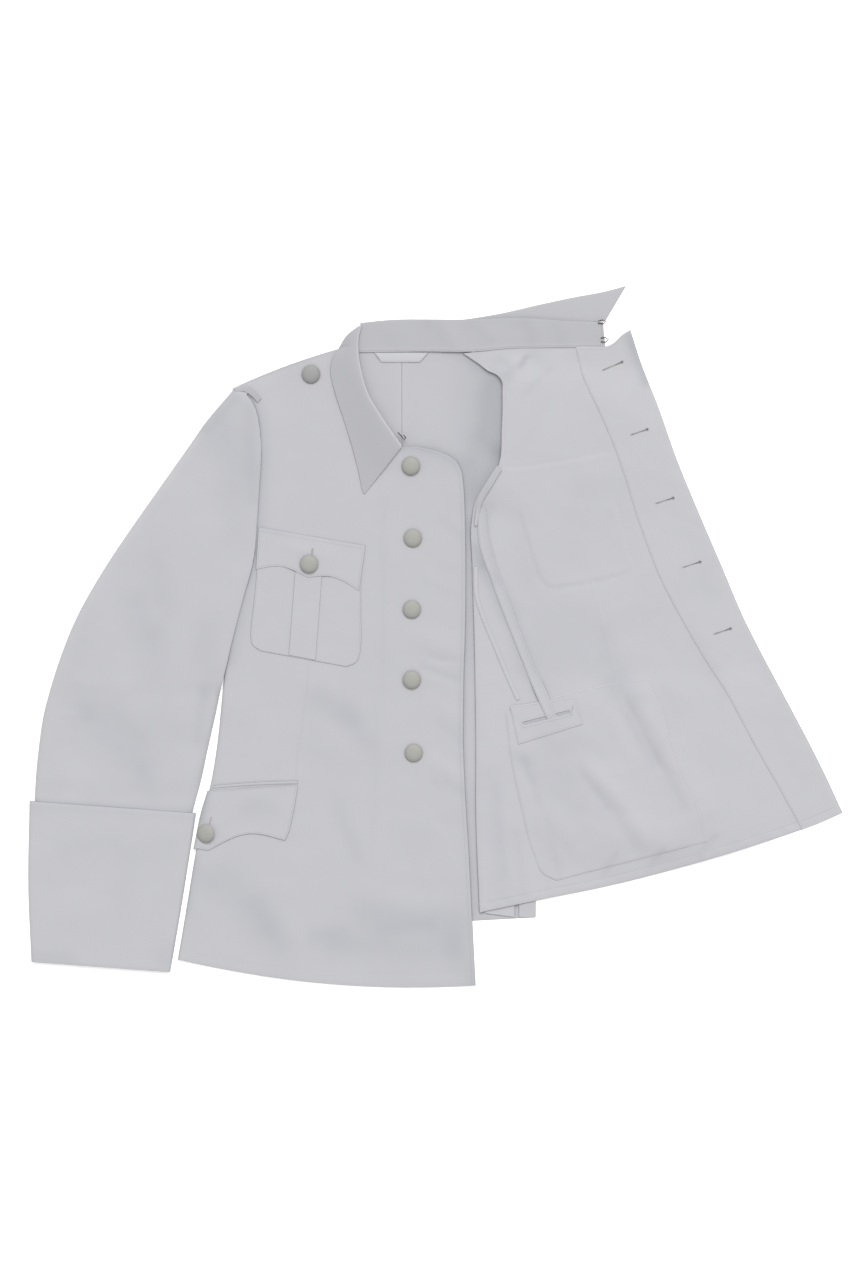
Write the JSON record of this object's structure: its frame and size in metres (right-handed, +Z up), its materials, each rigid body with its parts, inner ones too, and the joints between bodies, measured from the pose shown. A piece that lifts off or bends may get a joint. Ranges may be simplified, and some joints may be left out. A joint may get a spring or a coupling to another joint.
{
  "type": "military tunic",
  "caption": "White cotton service tunic with stand-and-fall collar, scalloped pocket flaps and turned-back cuffs, laid flat with its left front thrown open.",
  "frame": {"origin": "centre of the laid-out garment's outline, on the surface it lies on", "axes": "+X toward the thrown-open left front, +Y toward the collar, +Z up from the surface, out of the front of the garment"},
  "size_m": [0.8785, 0.7549, 0.0156],
  "materials": {
    "cotton_drill": "matt white cotton drill with a fine diagonal rib",
    "button_metal": "pebbled dome, grey-green, satin",
    "hook_steel": "dark bent wire"
  },
  "bodies": {
    "root": {"front_right": "cotton_drill", "front_left": "cotton_drill", "facing_left": "cotton_drill", "back_right": "cotton_drill", "back_left": "cotton_drill", "sleeve_right_top": "cotton_drill", "sleeve_right_under": "cotton_drill", "cuff_right": "cotton_drill", "sleeve_left": "cotton_drill", "collar_stand_left": "cotton_drill", "collar_stand_right": "cotton_drill", "collar_leaf_right": "cotton_drill", "collar_leaf_left": "cotton_drill", "hanger_loop": "cotton_drill", "shoulder_loop_right": "cotton_drill", "breast_pocket_right": "cotton_drill", "breast_pleat_right": "cotton_drill", "breast_flap_right": "cotton_drill", "skirt_welt_right": "cotton_drill", "skirt_flap_right": "cotton_drill", "pocket_bag_left": "cotton_drill", "slot_patch_left": "cotton_drill", "strap_front_left": "cotton_drill", "strap_rear_left": "cotton_drill", "armhole_tape_left": "cotton_drill", "front_button_1": "button_metal", "front_button_2": "button_metal", "front_button_3": "button_metal", "front_button_4": "button_metal", "front_button_5": "button_metal", "shoulder_button_right": "button_metal", "breast_button_right": "button_metal", "skirt_button_right": "button_metal", "collar_hook": "hook_steel", "collar_eye_1": "hook_steel", "collar_eye_2": "hook_steel"}
  },
  "joints": []
}
